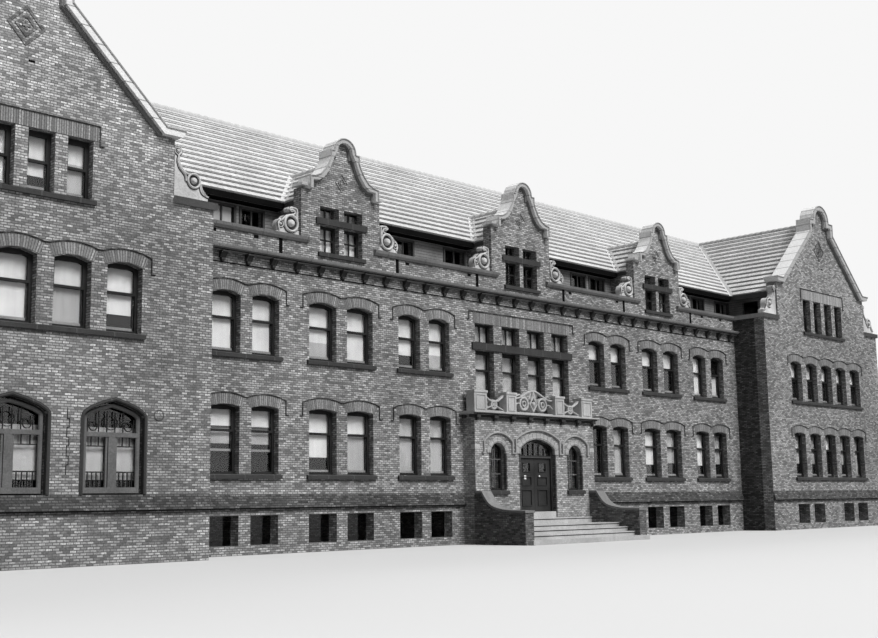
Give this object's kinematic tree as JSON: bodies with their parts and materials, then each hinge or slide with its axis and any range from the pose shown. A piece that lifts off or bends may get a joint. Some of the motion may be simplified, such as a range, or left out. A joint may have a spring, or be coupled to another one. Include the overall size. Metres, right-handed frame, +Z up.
{
  "type": "school building, 1:2 model",
  "caption": "Long brick school with end wings, shaped gables with stone scrolls, tiled roofs and a porch with double doors.",
  "frame": {"origin": "centre of the bounding box at ground level", "axes": "+X along the front to the right as seen from outside, -Y out of the front, +Z up"},
  "size_m": [27.455, 7.905, 8.125],
  "materials": {
    "brick": "mid-grey brick with flush pale joints, weathered",
    "attic_render": "dark boarded strip, matt",
    "pale_stone": "pale dressed stone, weathered",
    "dark_stone": "dark stained stone, matt",
    "roof_tile": "pale plain clay tiles in courses, weathered",
    "window_frame": "dark painted frame, satin",
    "glass": "clear glass",
    "door_wood": "dark painted panelled wood",
    "lead": "dull grey sheet lead",
    "floor_boards": "plain boards"
  },
  "bodies": {
    "building": {"attic_floor": "floor_boards", "attic_walls": "attic_render", "back_wall": "brick", "balcony_panels": "pale_stone", "balcony_posts": "pale_stone", "balcony_slab": "pale_stone", "basement_floor": "floor_boards", "cornice": "pale_stone", "cornice_brackets": "pale_stone", "dormer_cheeks": "brick", "dormer_copings": "pale_stone", "dormer_gables": "brick", "dormer_roofs": "roof_tile", "dormer_scrolls": "pale_stone", "entrance_fanlight": "glass", "entrance_floor": "pale_stone", "entrance_frame": "door_wood", "entrance_steps": "pale_stone", "first_floor": "floor_boards", "front_wall_left": "brick", "front_wall_right": "brick", "front_wall_upper": "brick", "front_window_frames": "window_frame", "front_window_panes": "glass", "ground_floor": "floor_boards", "gutters": "lead", "left_wing_front_wall": "brick", "main_roof": "roof_tile", "other_window_panes": "glass", "parapet_copings": "pale_stone", "parapet_wall": "brick", "porch_wall_head": "brick", "porch_wall_left": "brick", "porch_wall_right": "brick", "right_wing_front_wall": "brick", "side_walls": "brick", "sills_and_transoms": "dark_stone", "step_cheeks": "brick", "water_table": "pale_stone", "wing_back_walls": "brick", "wing_gable_copings": "pale_stone", "wing_gables": "brick", "wing_parapet_copings": "pale_stone", "wing_return_walls": "brick", "wing_roofs": "roof_tile", "wing_scrolls": "pale_stone"},
    "door_left": {"door_leaf_left": "door_wood", "door_glass_left": "glass"},
    "door_right": {"door_leaf_right": "door_wood", "door_glass_right": "glass"}
  },
  "joints": [
    {"name": "door_left_hinge", "type": "hinge", "parent": "building", "child": "door_left", "pos_m": [-0.455, -2.5375, 0.555], "axis": [0, 0, 1], "range_deg": [0, 90]},
    {"name": "door_right_hinge", "type": "hinge", "parent": "building", "child": "door_right", "pos_m": [0.455, -2.5375, 0.555], "axis": [0, 0, -1], "range_deg": [0, 90]}
  ]
}
